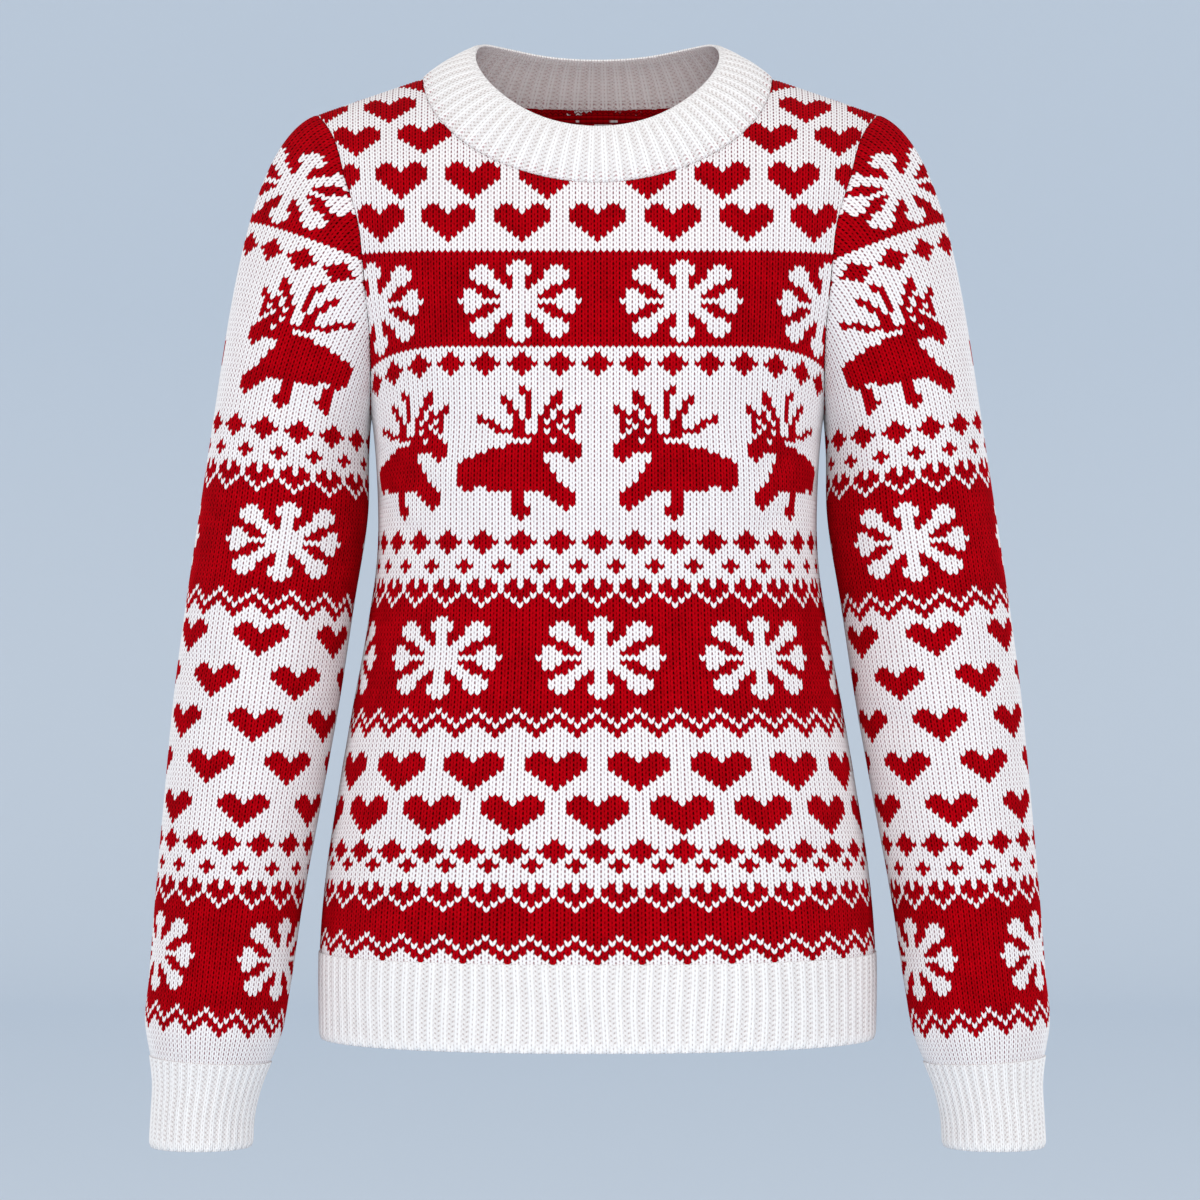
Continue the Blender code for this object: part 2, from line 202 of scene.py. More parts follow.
def reach(side, x, height):
    below_seam = np.clip((ridge(x) - height) / SHOULDER_ROUNDING, 0, 1)
    return round_body(side, x, height) * np.sqrt(1 - (1 - below_seam) ** 2)


def on_body(side, x, height):
    return together(x, side.sign * reach(side, x, height), height)


def panel_normal(side, x, height):
    """Outward directions of the cloth, level where it meets the other panel at the side."""
    step = 0.0005
    height = np.minimum(height, ridge(x) - step)
    across = reach(side, x + step, height) - reach(side, x - step, height)
    upward = reach(side, x, height + step) - reach(side, x, height - step)
    normal = unit(together(-across, side.sign * 2 * step, -upward))
    normal[..., 1] *= np.clip(reach(side, x, height) / (2 * WALL), 0, 1)
    return unit(normal)


def armhole(side, points):
    """The armhole edge on the wearer's left, from the shoulder tip to the underarm."""
    middle = (SHOULDER_TIP_HEIGHT + UNDERARM_HEIGHT) / 2
    half_height = (SHOULDER_TIP_HEIGHT - UNDERARM_HEIGHT) / 2
    line = []
    for turn in np.linspace(0, math.pi, 400):
        height = middle + half_height * math.cos(turn)
        power = ARMHOLE_POINT if turn < math.pi / 2 else 1.0
        out = side.armhole_reach * math.sin(turn) ** power
        widest = min(torso("half_width", height), NECK_HALF_WIDTH - height / SHOULDER_SLOPE)
        x = widest * np.sin(np.linspace(0, math.pi / 2, 300))
        outs = reach(side, x, height)
        outs[-1] = 0.0
        line.append([np.interp(out, outs[::-1], x[::-1]), side.sign * out, height])
    return spread(np.array(line), np.linspace(0, 1, points))


def neckline(side, points):
    """Half of the neck edge, from the centre to the shoulder seam on the wearer's left."""
    turn = np.linspace(0, math.pi / 2, 400)
    power = 2 / side.neckline_squareness
    x = NECK_HALF_WIDTH * np.sin(turn) ** power
    height = -side.neckline_drop * np.clip(np.cos(turn), 0, 1) ** power
    return spread(on_body(side, x, height), np.linspace(0, 1, points))


# -------- soft creases

# A trough in the worn cloth, from start to end. Its depth fades out towards both.
Crease = namedtuple("Crease", "start end half_width depth")
FRONT_CREASES = (
    Crease((-0.141, -0.030, -0.235), (-0.088, -0.105, -0.268), 0.0085, 0.0018),
    Crease((-0.138, -0.020, -0.262), (-0.100, -0.095, -0.305), 0.0100, 0.0015),
    Crease((0.141, -0.028, -0.228), (0.094, -0.100, -0.252), 0.0080, 0.0016),
    Crease((0.139, -0.020, -0.256), (0.090, -0.100, -0.296), 0.0105, 0.0016),
    Crease((-0.131, -0.068, -0.372), (-0.075, -0.106, -0.352), 0.0120, 0.0010),
    Crease((0.134, -0.066, -0.395), (0.080, -0.106, -0.378), 0.0130, 0.0011),
    Crease((-0.150, -0.060, -0.455), (-0.105, -0.103, -0.500), 0.0150, 0.0012),
    Crease((0.148, -0.064, -0.470), (0.112, -0.100, -0.520), 0.0140, 0.0012),
)
BACK_CREASES = (
    Crease((-0.141, 0.028, -0.232), (-0.080, 0.088, -0.275), 0.0090, 0.0036),
    Crease((0.141, 0.026, -0.238), (0.072, 0.090, -0.268), 0.0085, 0.0034),
    Crease((-0.125, 0.055, -0.318), (-0.030, 0.088, -0.334), 0.0110, 0.0034),
    Crease((0.128, 0.050, -0.300), (0.020, 0.088, -0.322), 0.0120, 0.0036),
    Crease((-0.060, 0.090, -0.352), (0.055, 0.091, -0.360), 0.0130, 0.0025),
    Crease((-0.136, 0.060, -0.400), (-0.070, 0.098, -0.440), 0.0150, 0.0024),
    Crease((0.140, 0.060, -0.420), (0.085, 0.098, -0.452), 0.0140, 0.0021),
)
SLEEVE_CREASES = (
    Crease((0.150, -0.030, -0.222), (0.196, -0.052, -0.205), 0.0085, 0.0022),
    Crease((0.148, -0.034, -0.250), (0.190, -0.054, -0.244), 0.0080, 0.0016),
    Crease((0.152, 0.030, -0.226), (0.204, 0.052, -0.206), 0.0090, 0.0032),
    Crease((0.160, -0.030, -0.395), (0.205, -0.056, -0.408), 0.0100, 0.0015),
    Crease((0.166, 0.020, -0.410), (0.216, 0.041, -0.396), 0.0100, 0.0030),
    Crease((0.170, 0.022, -0.446), (0.212, 0.036, -0.452), 0.0090, 0.0024),
    Crease((0.262, -0.030, -0.372), (0.234, -0.052, -0.362), 0.0110, 0.0012),
    Crease((0.204, -0.045, -0.592), (0.262, -0.052, -0.588), 0.0085, 0.0015),
    Crease((0.206, 0.012, -0.588), (0.262, 0.018, -0.594), 0.0085, 0.0020),
)


def crease_depth(points, creases):
    """How far the creases push the cloth in: troughs, with the cloth a little raised beside them."""
    depth = np.zeros(points.shape[:-1])
    for crease in creases:
        start, end = np.array(crease.start), np.array(crease.end)
        line = end - start
        share = np.clip(((points - start) @ line) / (line @ line), -0.5, 1.5)
        away = np.linalg.norm(points - start - share[..., None] * line, axis=-1)
        fade = np.clip(1 - np.abs(2 * share - 1) ** 2.5 / 2.2, 0, 1)
        across = away / crease.half_width
        depth += crease.depth * fade * (1 - 0.9 * across**2) * np.exp(-(across**2))
    return depth


# -------- charts, one letter a stitch

HEART = """
.XX...XX.
XXXX.XXXX
XXXXXXXXX
XXXXXXXXX
.XXXXXXX.
..XXXXX..
...XXX...
....X....
""".split()
SMALL_HEART = """
.X.X.
XX.XX
XXXXX
.XXX.
..X..
""".split()
DIAMOND = """
..X..
.XXX.
XXXXX
.XXX.
..X..
""".split()
SMALL_DIAMOND = """
.X.
XXX
.X.
""".split()
# Up and outwards from the centre.
SNOWFLAKE_QUARTER = """
XXXXXXXXXX
XXX...XXX.
XXXX...XX.
X.XXX.....
X..XXXX...
X...XXXX..
XX..XXXX..
XX...XX...
X.........
""".split()
REINDEER = """
..........X.........
..........XX....X...
.......X...X...XX...
.......XX..X...XX...
........X..X..XX...X
........XX.X..X.X.XX
...X.....X.X.XX.XXX.
...XXX...XX..X.XX.X.
.....XX..XX..XXX.XX.
......XXXXX..X.XX.X.
.........XXXXXXXXX..
............XXX.XXX.
........XXXXXXXXXXXX
.....XXXXXXXXXXXXXXX
...XXXXXXXXXXX...XXX
.XXXXXXXXXXXXX....X.
XXXXXXXXXXXXXXX.....
XXXXXXXXXXXXXXX.....
XXXXXXXXXXXXXXXX....
XXXXXXXXXXXXXXXX....
XXXXXXXXXXXXXXXXX...
.XX..XXXXXXXXXXXXX..
.........XX...XXXXX.
.........XX....XXXX.
.........XX.....XXX.
.........XXX.....X..
.........XXX........
..........X.........
""".split()
HIND_LEG = """
.XX.
.XX.
.XX.
.XXX
.XX.
.X..
""".split()
SLEEVE_HEART = HEART[:2] + HEART[3:]
SNOWFLAKE = [half[::-1] + half for half in SNOWFLAKE_QUARTER[:0:-1] + SNOWFLAKE_QUARTER]

PITCH = 6  # columns from one zigzag or small motif to the next
FIRST_BODY_COLUMN = -52
FIRST_SLEEVE_COLUMN = -42
# Above the first row of hearts the neckline takes up stitches, and the rest stand further apart.
YOKE_HEARTS = (
    (159, (8, 20, 32, 44)),
    (169, (0, 16, 28, 40)),
    (178, (10, 22, 34, 46)),
    (187, (0, 16, 28, 40)),
    (196, (10, 22, 34, 46)),
)
SLEEVE_HEARTS = ((50, 1), (59, 8), (68, 1), (77, 7), (86, 0))
SLEEVE_HEART_PITCH = 14
RED, WHITE = 0, 1


class Chart:
    """Which yarn shows at each stitch, by row and column. Columns may run on round a tube."""

    def __init__(self, first_column, columns, rows, closed):
        self.first = first_column
        self.closed = closed
        self.yarn = np.full((rows, columns), WHITE)

    def put(self, row, col, yarn):
        rows, columns = self.yarn.shape
        place = col - self.first
        if self.closed:
            place %= columns
        if 0 <= row < rows and 0 <= place < columns:
            self.yarn[row, place] = yarn

    def motif(self, letters, low_row, left_column, yarn, mirrored=False):
        for up, line in enumerate(reversed(letters)):
            for right, letter in enumerate(reversed(line) if mirrored else line):
                if letter == "X":
                    self.put(low_row + up, left_column + right, yarn)

    def centred(self, letters, low_row, centre):
        self.motif(letters, low_row, centre - (len(letters[0]) - 1) // 2, RED)

    def repeat(self, letters, low_row, centre, pitch=PITCH):
        for col in self.columns():
            if (col - centre) % pitch == 0:
                self.centred(letters, low_row, col)

    def columns(self):
        beyond = 0 if self.closed else PITCH
        return range(self.first - beyond, self.first + self.yarn.shape[1] + beyond)

    def band(self, low, high):
        """Red, with a white zigzag line inside its lower edge, up to the white zigzag of its upper edge."""
        for col in self.columns():
            white_line = low.row(col)
            for row in range(white_line - 2, high.row(col)):
                self.put(row, col, WHITE if row == white_line else RED)


class Zigzag(namedtuple("Zigzag", "trough_row trough_column")):
    def row(self, col):
        away = (col - self.trough_column) % PITCH
        return self.trough_row + min(away, PITCH - away)


def snowflakes(chart, centre_row, left_columns):
    for left in left_columns:
        chart.motif(SNOWFLAKE, centre_row - len(SNOWFLAKE) // 2, left, WHITE)


def border(chart, low_row, phase):
    """Small hearts, small diamonds and diamonds, one above another."""
    chart.repeat(SMALL_HEART, low_row, phase)
    chart.repeat(SMALL_DIAMOND, low_row + 6, phase + 3)
    chart.repeat(DIAMOND, low_row + 10, phase)


def body_chart(rows):
    chart = Chart(FIRST_BODY_COLUMN, BODY_COLUMNS, rows, False)
    chart.band(Zigzag(2, 0), Zigzag(11, 3))
    chart.repeat(SMALL_HEART, 12, 3)
    chart.repeat(SMALL_DIAMOND, 19, 3)
    chart.repeat(DIAMOND, 21, 0)
    chart.repeat(HEART, 27, 0, 2 * PITCH)
    chart.repeat(HEART, 36, PITCH, 2 * PITCH)
    chart.band(Zigzag(49, 3), Zigzag(74, 0))
    snowflakes(chart, 63, (-59, -34, -9, 16, 41))
    border(chart, 75, 0)
    for left in (3, 25):
        chart.motif(REINDEER, 92, left, RED, mirrored=True)
        chart.motif(REINDEER, 92, 1 - left - len(REINDEER[0]), RED)
    chart.repeat(DIAMOND, 122, 0)
    chart.yarn[128:148] = RED
    snowflakes(chart, 137, (-48, -22, 4, 30))
    chart.repeat(HEART, 150, 0, 2 * PITCH)
    for low_row, centres in YOKE_HEARTS:
        for centre in centres:
            chart.centred(HEART, low_row, centre)
            chart.centred(HEART, low_row, -centre)
    return chart


def sleeve_chart(rows):
    """Of the wearer's right sleeve, column 0 at its front and the columns counted towards the body."""
    chart = Chart(FIRST_SLEEVE_COLUMN, SLEEVE_COLUMNS, rows, True)
    chart.band(Zigzag(8, 2), Zigzag(33, 5))
    snowflakes(chart, 22, (4, 32, -24))
    border(chart, 34, 5)
    for low_row, centre in SLEEVE_HEARTS:
        chart.repeat(SLEEVE_HEART, low_row, centre, SLEEVE_HEART_PITCH)
    chart.band(Zigzag(96, 1), Zigzag(121, 2))
    snowflakes(chart, 110, (-8, 20, -36))
    border(chart, 122, 2)
    for left in (-11, 17, -39):
        chart.motif(REINDEER, 139, left, RED, mirrored=True)
        chart.motif(HIND_LEG, 139, left + 15, RED, mirrored=True)
    chart.repeat(DIAMOND, 168, 5)
    chart.yarn[175:] = RED
    snowflakes(chart, 184, (4, 32, -24))
    return chart


# -------- cloth laid out as columns and rows

# Points of a piece and what lies where on it, all by [column step, row step], and yarn by [face, face].
Lattice = namedtuple("Lattice", "outer inner inside knit flat yarn quads closed")


def rows_of(lean, most_rows):
    """The row each point lies on, from one below the first, by [column step, row step]."""
    return np.arange(most_rows)[None, :] - 1 + lean[:, None]


def at_rows(rows_there, known, lines):
    """Points or directions on lines up a piece, [step, column], read at the given rows of each."""
    found = np.empty(rows_there.shape + (3,))
    for k, at in enumerate(rows_there):
        for axis in range(3):
            found[k, :, axis] = np.interp(at, known[:, k], lines[:, k, axis])
    return found


def nearest(points, among):
    """The number of the nearest of several places, and the distance to it, for each point."""
    tree = kdtree.KDTree(len(among))
    for k, place in enumerate(among):
        tree.insert(place, k)
    tree.balance()
    found = [tree.find(point) for point in points]
    return np.array([hit[1] for hit in found]), np.array([hit[2] for hit in found])


def corners_of(values, closed):
    """The values at the four corners of each cell between the points, in the order round it."""
    here, after = (values, np.roll(values, -1, axis=0)) if closed else (values[:-1], values[1:])
    return np.stack([here[:, :-1], after[:, :-1], after[:, 1:], here[:, 1:]])


def touched(inside):
    """The points of all cells that have at least one point inside."""
    cells = corners_of(inside, False).any(axis=0)
    marked = np.zeros_like(inside)
    for columns in (slice(None, -1), slice(1, None)):
        for rows in (slice(None, -1), slice(1, None)):
            marked[columns, rows] |= cells
    return marked


def both_faces(points, normal, inside, creases, distance, seam_furrow=0.0):
    """The outer face, with its creases, rolled edges and raised legs, and the inner one behind it."""
    pushed_in = crease_depth(points, creases) * np.clip(distance / CREASE_FADE, 0, 1)
    pushed_in += SEAM_ROLL * np.exp(-((distance / SEAM_ROLL_WIDTH) ** 2))
    pushed_in += seam_furrow
    legs = LEG_HEIGHT * (np.arange(len(points)) % 2)[:, None] * inside
    return points + (legs - pushed_in)[..., None] * normal, points - (pushed_in + WALL)[..., None] * normal


def keep_apart(side, faces):
    """Leave the gap of the side seam between the front and the back."""
    for points in faces:
        points[..., 1] = side.sign * np.maximum(side.sign * points[..., 1], SEAM / 2)


def yarn_of_faces(chart):
    """The yarn of each face, by column and row. The faces begin a row below the chart."""
    yarn = np.repeat(chart.yarn.T, QUADS, axis=0)[:, :-2]
    return np.pad(yarn, ((0, 0), (1, 0)), constant_values=WHITE)


Stretch = namedtuple("Stretch", "height wider")
# The worn cloth is stretched more at the front of the waist and hips than at their sides.
STRETCH = (
    Stretch(-0.550, 0.15),
    Stretch(-0.450, 0.20),
    Stretch(-0.370, 0.25),
    Stretch(-0.300, 0.34),
    Stretch(-0.250, 0.22),
    Stretch(-0.208, 0.00),
    Stretch(-0.170, 0.00),
)


def half_round(side, height):
    """The outline of the body from the centre to the side: x, the way out there, and the length along it."""
    x = torso("half_width", height) * np.sin(np.linspace(0, math.pi / 2, 500))
    out = round_body(side, x, height)
    out[-1] = 0.0
    return x, out, steps_along(together(x, out))


def panel_columns(side, near):
    """Heights from the hem band up, the x of each column there, and the width of a stitch."""
    heights = np.linspace(HEM_BAND_TOP, TOP_HEIGHT, 220)
    x_at = np.empty((len(heights), len(near)))
    for k, height in enumerate(heights):
        x, _, along = half_round(side, height)
        if height <= UNDERARM_HEIGHT:  # and from there up, the spacing stays
            width = along[-1] / (BODY_COLUMNS / 2)
            share = near / (BODY_COLUMNS / 2)
            wider = smooth(STRETCH, "wider", height)
            from_centre = along[-1] * share * (1 + wider * share * (1 - share))
        x_at[k] = np.interp(from_centre, along, x)
    return heights, x_at, width


def panel_column(side, place, heights, x_at):
    """One column up to the shoulder seam: the rows that its points lie on, their x and their heights."""
    top = np.interp(0, heights - ridge(x_at), heights)
    z = top - (top - heights[0]) * (1 - np.linspace(0, 1, 600)) ** 2
    x = np.interp(z, heights, x_at)
    long_way = steps_along(on_body(side, x, z))
    turns_at = top - SHOULDER_ROUNDING
    over = turns_at + long_way - np.interp(turns_at, z, long_way)
    risen = np.where(z < turns_at, z, over) - heights[0]
    return (risen + sag(place, z) - lift(side, x, z)) / ROW, x, z


def sag(place, height):
    """How far the rows hang down beside the armholes, in metres."""
    begins, full, most = 24, 44, 1.3  # stitches from the centre, and how much more it gets beyond
    depth, middle, half_height = 0.016, -0.190, 0.055
    near_arm = np.clip((abs(place) - begins) / (full - begins), 0, most)
    return depth * near_arm**2 * np.exp(-(((height - middle) / half_height) ** 2))


def lift(side, x, height):
    """How far the rows climb from the middle to the sides, so that they look level from the front."""
    above_band = np.clip((height - HEM_BAND_TOP) / 0.08, 0, 1)
    shallower = reach(side, 0 * x, height) - reach(side, x, height)
    return above_band * (height - EYE_HEIGHT) * shallower / EYE_DISTANCE


def panel_outline(side, arm, neck):
    z = np.linspace(HEM_BAND_TOP, UNDERARM_HEIGHT, 1200)
    seam = together(torso("half_width", z), 0, z)
    x = np.linspace(arm[0, 0], NECK_HALF_WIDTH, 300)
    shoulder = together(x, 0, ridge(x))
    x = torso("half_width", z[0]) * np.sin(np.linspace(0, math.pi / 2, 900))
    bottom = on_body(side, x, z[0])
    long_arm = spread(arm, np.linspace(0, 1, 900))
    long_neck = spread(neck, np.linspace(0, 1, 700))
    half = np.concatenate([bottom, seam, long_arm, shoulder, long_neck])
    return np.concatenate([half, half * [-1, 1, 1]])


def snap_to_outline(points, inside, outline):
    """Move the points just outside on to the outline. Gives how far each point is from a linked edge."""
    snapped = touched(inside) & ~inside
    numbers, _ = nearest(points[snapped], outline)
    points[snapped] = outline[numbers]
    linked = outline[outline[:, 2] > HEM_BAND_TOP + 3 * ROW]
    distance = np.ones(inside.shape)
    _, distance[inside] = nearest(points[inside], linked)
    distance[snapped & (points[..., 2] >= HEM_BAND_TOP + ROW)] = 0.0
    return distance


def panel_lattice(side):
    """The front or the back from the hem band up, its columns running straight up to the shoulders."""
    near = np.arange(BODY_COLUMNS * QUADS // 2 + 1) / QUADS
    heights, x_at, width = panel_columns(side, near)
    half = [panel_column(side, place, heights, x_at[:, i]) for i, place in enumerate(near)]
    places = np.concatenate([-near[:0:-1], near])
    most_rows = int(max(rows[-1] for rows, _, _ in half)) + 3
    lean = np.resize(LEANS, len(places))
    rows_there = rows_of(lean, most_rows)
    points = np.empty(rows_there.shape + (3,))
    below_top = np.empty(rows_there.shape, bool)
    for k, place in enumerate(places):
        rows, x, z = half[round(abs(place) * QUADS)]
        x, z = (np.interp(rows_there[k], rows, values) for values in (x, z))
        points[k] = on_body(side, math.copysign(1, place) * x, z)
        below_top[k] = rows_there[k] < rows[-1]

    arm, neck = armhole(side, 300), neckline(side, 300)
    x, z = np.abs(points[..., 0]), points[..., 2]
    within_arm = (z < UNDERARM_HEIGHT) | (x < np.interp(z, arm[::-1, 2], arm[::-1, 0]))
    within_neck = z < np.where(x < NECK_HALF_WIDTH, np.interp(x, neck[:, 0], neck[:, 2]), ridge(x))
    inside = (rows_there > LEAST_ROW) & below_top & within_arm & within_neck
    inside[[0, -1]] = False
    distance = snap_to_outline(points, inside, panel_outline(side, arm, neck))
    normal = panel_normal(side, points[..., 0], points[..., 2])
    creases = FRONT_CREASES if side is FRONT else BACK_CREASES
    outer, inner = both_faces(points, normal, inside, creases, distance)
    keep_apart(side, (outer, inner))

    knit = together(places[:, None], rows_there - lean[:, None])
    flat = together(places[:, None] * width, rows_there * ROW)
    yarn = yarn_of_faces(body_chart(most_rows))
    by_column = (outer, inner, inside, knit, flat, yarn)
    if side is BACK:  # counted the other way, so that its faces point out too
        by_column = [values[::-1] for values in by_column]
        flat[..., 0] *= -1
    return Lattice(*by_column, QUADS, False)


def sleeve_ring(height, turns):
    at = Section(height, *(smooth(SLEEVE, name, height) for name in Section._fields[1:]))
    half_width = (at.outer - at.inner) / 2
    rise = math.tan(math.radians(at.tilt))
    x = (at.outer + at.inner) / 2 + half_width * np.cos(turns)
    y = at.middle_y - at.half_depth * np.sin(turns)
    return together(x, y, height + rise * half_width * np.cos(turns))


Droop = namedtuple("Droop", "row all_round inwards")
# How many rows the sleeve hangs lower than its length alone puts it, and how many more towards the body.
DROOP = (Droop(100, 0.0, 0.0), Droop(134, 1.0, -1.2), Droop(170, 1.7, 2.5), Droop(190, 1.7, 3.0))


def sleeve_head(turns):
    """The left sleeve's lines from its straight part to the armhole, [step, turn]."""
    degrees = np.degrees(turns) % 360
    folded = np.minimum(degrees, 360 - degrees)
    is_front = (degrees <= 180)[:, None]
    value = {name: smooth(SLEEVE_HEAD, name, folded, by="turn")[:, None] for name in Leave._fields[1:]}
    forwards = np.where(is_front, FRONT.sign, BACK.sign) * value["forwards"]
    direction = unit(np.concatenate([value["outwards"], forwards, value["upwards"]], axis=1))
    edges = [spread(armhole(side, 400), folded / 180) for side in (FRONT, BACK)]
    start = np.where(is_front, edges[0], edges[1]) + SEAM * direction
    top = SLEEVE[-1].height
    end = sleeve_ring(top, turns)
    down = unit(sleeve_ring(top - WALL, turns) - end)
    t = np.linspace(1, 0, 240)[:, None, None]
    pulls = (value["pull_from_armhole"] * direction, value["pull_down_sleeve"] * down)
    return hermite(t, start, end, *pulls)


def sleeve_paths(turns):
    """The left sleeve's lines from the cuff to the armhole, [step, turn], and the row each point lies on."""
    heights = np.linspace(CUFF_TOP, SLEEVE[-1].height, 260)
    arm = np.stack([sleeve_ring(height, turns) for height in heights])
    head = sleeve_head(turns)
    steps = np.linalg.norm(np.diff(head, axis=0), axis=-1)
    arm_rows = np.repeat((heights[:, None] - heights[0]) / ROW, len(turns), axis=1)
    head_rows = arm_rows[-1] + np.cumsum(steps, axis=0) / ROW
    rows = np.concatenate([arm_rows, head_rows])
    droop = [np.interp(rows, column(DROOP, "row"), column(DROOP, name)) for name in ("all_round", "inwards")]
    rows += droop[0] - droop[1] * np.cos(turns)
    return np.concatenate([arm, head[1:]]), rows


def round_normals(points):
    """Outward normals of lines round a tube, [step, turn], with the turns counted clockwise from above."""
    wrapped = np.concatenate([points[:, -1:], points, points[:, :1]], axis=1)
    around = np.gradient(wrapped, axis=1)[:, 1:-1]
    return unit(np.cross(around, np.gradient(points, axis=0)))


def sleeve_lattice():
    """The wearer's left sleeve. Its columns are counted towards the body, so its chart is mirrored."""
    count = SLEEVE_COLUMNS * QUADS
    places = SLEEVE_COLUMNS / 2 - 0.5 - np.arange(count) / QUADS
    lines, rows = sleeve_paths(math.pi / 2 + places * 2 * math.pi / SLEEVE_COLUMNS)
    most_rows = int(rows[-1].max()) + 3
    lean = np.resize(LEANS, count)
    rows_there = rows_of(lean, most_rows)
    points = at_rows(rows_there, rows, lines)
    normal = unit(at_rows(rows_there, rows, round_normals(lines)))
    inside = (rows_there > LEAST_ROW) & (rows_there < rows[-1][:, None] - LEAST_ROW)
    _, distance = nearest(points.reshape(-1, 3), lines[-1])
    distance = distance.reshape(inside.shape)
    from_seam = np.abs((places + SLEEVE_COLUMNS / 4) % SLEEVE_COLUMNS - SLEEVE_COLUMNS / 2)
    underarm_seam = SEAM_ROLL / 2 * np.exp(-(from_seam[:, None] ** 2))
    outer, inner = both_faces(points, normal, inside, SLEEVE_CREASES, distance, underarm_seam)
    knit = together(places[:, None], rows_there - lean[:, None])
    width = 2 * math.pi * SLEEVE_MAP_RADIUS / SLEEVE_COLUMNS
    flat = together(-places[:, None] * width, rows_there * ROW)
    yarn = yarn_of_faces(sleeve_chart(most_rows))[::-1]
    return Lattice(outer, inner, inside, knit, flat, yarn, QUADS, True)


# -------- ribs

RibPoint = namedtuple("RibPoint", "share height lean")
# Across one rib, from the middle of one purl furrow to the next: a knitted wale of two legs.
RIB = (
    RibPoint(0.00, 0.00, 0.00),
    RibPoint(0.13, 0.00, 0.20),
    RibPoint(0.25, 0.60, 0.36),
    RibPoint(0.37, 1.25, -0.04),
    RibPoint(0.50, 0.95, -0.32),
    RibPoint(0.63, 1.25, -0.04),
    RibPoint(0.75, 0.60, 0.36),
    RibPoint(0.87, 0.00, 0.20),
)


def rib_places(ribs, closed):
    shares = [rib + point.share for rib in range(ribs) for point in RIB]
    return np.array(shares if closed else shares + [ribs])


def rib_lattice(lines, normals, ribs, closed, free_end_up=False):
    """A ribbed piece from its lines, [step up, rib point]. Its free end is rounded over."""
    count = lines.shape[1]
    height = np.mean(np.linalg.norm(np.diff(lines, axis=0), axis=-1).sum(axis=0))
    rows = round(height / ROW)
    most_rows = rows + 3
    lean = np.resize(column(RIB, "lean"), count)
    raised = np.resize(column(RIB, "height"), count)[:, None]
    rows_there = rows_of(lean, most_rows)
    known = np.repeat(np.linspace(0, rows, len(lines))[:, None], count, axis=1)
    points = at_rows(rows_there, known, lines)
    normal = unit(at_rows(rows_there, known, normals))
    inside = (rows_there > LEAST_ROW) & (rows_there < rows - LEAST_ROW)
    from_free_end = np.clip(rows - rows_there if free_end_up else rows_there, 0, None)
    filled = np.exp(-((from_free_end / FREE_END_FILL_ROWS) ** 2))
    raised = RIB_HEIGHT * (raised + (FREE_END_FILL - raised) * filled)
    pushed_in = FREE_END_ROLL * np.exp(-((from_free_end / FREE_END_ROLL_ROWS) ** 2))
    outer = points + (raised - pushed_in)[..., None] * normal
    inner = points - (RIB_WALL - pushed_in / 2)[..., None] * normal
    places = rib_places(ribs, closed)
    knit_place = np.interp(places % 1, (0, 0.25, 0.75, 1), (0, 0.5, 1.5, 2)) + 2 * np.floor(places)
    up = rows - rows_there + lean[:, None] if free_end_up else rows_there - lean[:, None]
    knit = together(knit_place[:, None], up)
    pitch = np.linalg.norm(lines[0, RIB_QUADS] - lines[0, 0])
    flat = together(places[:, None] * pitch, rows_there * ROW)
    yarn = np.full((count if closed else count - 1, most_rows - 1), WHITE)
    return Lattice(outer, inner, inside, knit, flat, yarn, RIB_QUADS, closed)


def hem_lattice(side):
    places = rib_places(HEM_RIBS, False) / HEM_RIBS * 2 - 1
    lines, normals = [], []
    for height in np.linspace(HEM_HEIGHT, HEM_BAND_TOP, 40):
        x, out, along = half_round(side, height)
        strayed = places + RIB_WANDER * np.sin(9 * places + 70 * height) * (1 - places**2)
        at = np.abs(strayed) * along[-1]
        x, y = np.sign(strayed) * np.interp(at, along, x), side.sign * np.interp(at, along, out)
        lines.append(together(x, y, height))
        normals.append(panel_normal(side, x, lines[-1][:, 2]))
    lines, normals = np.array(lines), np.array(normals)
    if side is BACK:
        lines, normals = lines[:, ::-1], normals[:, ::-1]
    made = rib_lattice(lines, normals, HEM_RIBS, False)
    keep_apart(side, (made.outer, made.inner))
    return made


def cuff_lattice():
    """The wearer's left cuff."""
    turns = math.pi / 2 - rib_places(CUFF_RIBS, True) / CUFF_RIBS * 2 * math.pi
    lines = np.array([sleeve_ring(z, turns) for z in np.linspace(CUFF_BOTTOM, CUFF_TOP, 40)])
    return rib_lattice(lines, round_normals(lines), CUFF_RIBS, True)


def neck_rim(side):
    throat, nape = NECK_RIM[0].y, NECK_RIM[-1].y
    middle = (throat + nape) / 2
    turn = np.linspace(0, math.pi / 2, 400)
    x = NECK_RIM_HALF_WIDTH * np.sin(turn)
    y = middle + side.sign * (nape - middle) * np.cos(turn)
    return together(x, y, smooth(NECK_RIM, "height", y, by="y"))


def neck_line(line_of):
    """A closed line from the throat past the wearer's left to the nape and back, at every rib point."""
    shares = [rib_places(side.neck_ribs // 2, False) / (side.neck_ribs // 2) for side in (FRONT, BACK)]
    front = spread(line_of(FRONT), shares[0])
    back = spread(line_of(BACK), 1 - shares[1])
    left = np.concatenate([front, back[1:]])
    right = left[-2:0:-1] * [-1, 1, 1]
    return np.concatenate([left, right])


